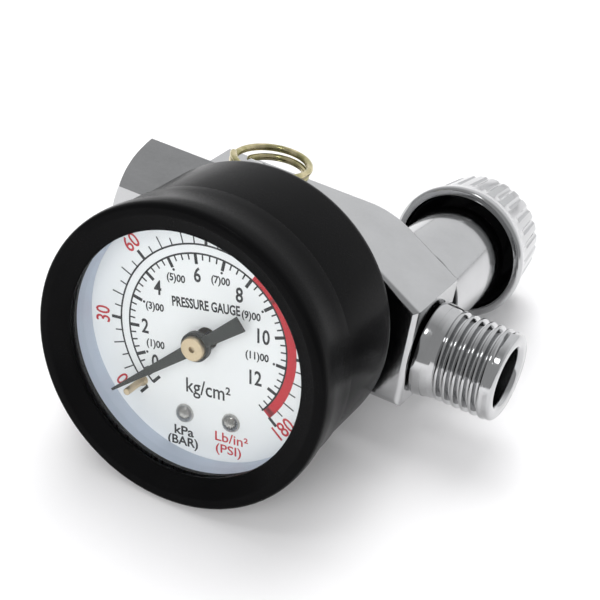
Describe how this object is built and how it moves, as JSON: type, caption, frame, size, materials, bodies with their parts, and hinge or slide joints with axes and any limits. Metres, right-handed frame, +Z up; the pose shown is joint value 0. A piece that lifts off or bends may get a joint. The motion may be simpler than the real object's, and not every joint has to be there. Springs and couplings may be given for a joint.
{
  "type": "air pressure regulator",
  "caption": "In-line air pressure regulator: cast plated body with threaded ports, fluted adjusting knob, hanging ring and a round back-mounted dial gauge.",
  "frame": {"origin": "on the axis of the male inlet thread, in the plane of its first crest at the shoulder", "axes": "+X out of the male inlet thread; the gauge faces -Y and the adjusting knob is at +Y; +Z up"},
  "size_m": [0.0611, 0.0683, 0.0436],
  "materials": {
    "plated_body": "bright chrome plate over a die casting",
    "plated_trim": "bright chrome plate",
    "black_case": "gloss black enamel",
    "clear_lens": "clear, polished",
    "dial_white": "white enamel with printed scales",
    "brass": "turned",
    "bronze": "drawn tube",
    "steel": "turned",
    "spring_steel": "drawn wire",
    "black_pointer": "satin black paint",
    "rubber": "moulded",
    "yellow_zinc": "yellow zinc plate",
    "white_ring": "white moulding",
    "fibre": "pressed fibre"
  },
  "bodies": {
    "regulator": {"regulator_body": "plated_body", "inlet_nipple": "plated_body", "inlet_screen": "brass", "valve_seat": "brass", "poppet_spring": "spring_steel", "bonnet": "plated_trim", "bonnet_gasket": "rubber", "range_spring": "spring_steel", "gauge_case": "black_case", "bezel": "black_case", "lens": "clear_lens", "lens_gasket": "rubber", "spacer_ring": "white_ring", "case_screws": "steel", "dial_plate": "dial_white", "dial_screws": "brass", "stop_pin": "brass", "gauge_stem": "brass", "stem_washer": "fibre", "bourdon_tube": "bronze", "movement_back_plate": "brass", "movement_front_plate": "brass", "movement_pillars": "brass", "dial_posts": "brass"},
    "pointer_arbor": {"pinion_shaft": "steel", "pointer": "black_pointer", "pointer_hub": "brass", "hairspring": "bronze"},
    "sector": {"sector_gear": "brass"},
    "link_arm": {"link": "brass"},
    "tip": {"tube_tip": "brass"},
    "spring_carrier": {"spring_button": "steel"},
    "knob": {"adjusting_screw": "steel", "adjusting_knob": "plated_trim", "knob_screw": "steel"},
    "piston_body": {"piston": "brass", "piston_ring": "rubber"},
    "valve": {"poppet": "brass", "poppet_washer": "rubber"},
    "ring": {"hanging_ring": "yellow_zinc"}
  },
  "joints": [
    {"name": "pointer_turn", "type": "hinge", "parent": "regulator", "child": "pointer_arbor", "pos_m": [-0.02573, 0, 0.00276], "axis": [0, 1, 0], "range_deg": [0, 259.1]},
    {"name": "sector_swing", "type": "hinge", "parent": "regulator", "child": "sector", "pos_m": [-0.02573, 0, -0.00624], "axis": [0, 1, 0], "range_deg": [-43.74, 0]},
    {"name": "link_pivot", "type": "hinge", "parent": "sector", "child": "link_arm", "pos_m": [-0.02783, 0, -0.00988], "axis": [0, 1, 0], "range_deg": [0, 43.74]},
    {"name": "tube_tip_travel", "type": "slide", "parent": "regulator", "child": "tip", "axis": [0.9899, 0, -0.1415], "range_m": [0, 0.00313]},
    {"name": "knob_advance", "type": "slide", "parent": "regulator", "child": "spring_carrier", "axis": [0, -1, 0], "range_m": [0, 0.004], "deforming": ["range_spring"]},
    {"name": "knob_turn", "type": "hinge", "parent": "spring_carrier", "child": "knob", "pos_m": [-0.01043, 0, 0.00276], "axis": [0, -1, 0], "range_deg": [0, 1440.1]},
    {"name": "piston_stroke", "type": "slide", "parent": "regulator", "child": "piston_body", "axis": [0, -1, 0], "range_m": [0, 0.000601]},
    {"name": "valve_lift", "type": "slide", "parent": "regulator", "child": "valve", "axis": [0, -1, 0], "range_m": [0, 0.000601], "deforming": ["poppet_spring"]},
    {"name": "ring_swing", "type": "hinge", "parent": "regulator", "child": "ring", "pos_m": [-0.0328, -0.0041, 0.017], "axis": [1, 0, 0], "range_deg": [0, 110]}
  ],
  "couplings": [
    {"joint": "pointer_turn", "follows": "tube_tip_travel", "rad_per_m": 1445.1},
    {"joint": "sector_swing", "follows": "tube_tip_travel", "rad_per_m": -243.97},
    {"joint": "link_pivot", "follows": "tube_tip_travel", "rad_per_m": 243.97},
    {"joint": "knob_turn", "follows": "knob_advance", "rad_per_m": 6283.2},
    {"joint": "piston_stroke", "follows": "knob_advance", "ratio": 0.15},
    {"joint": "valve_lift", "follows": "knob_advance", "ratio": 0.15}
  ]
}
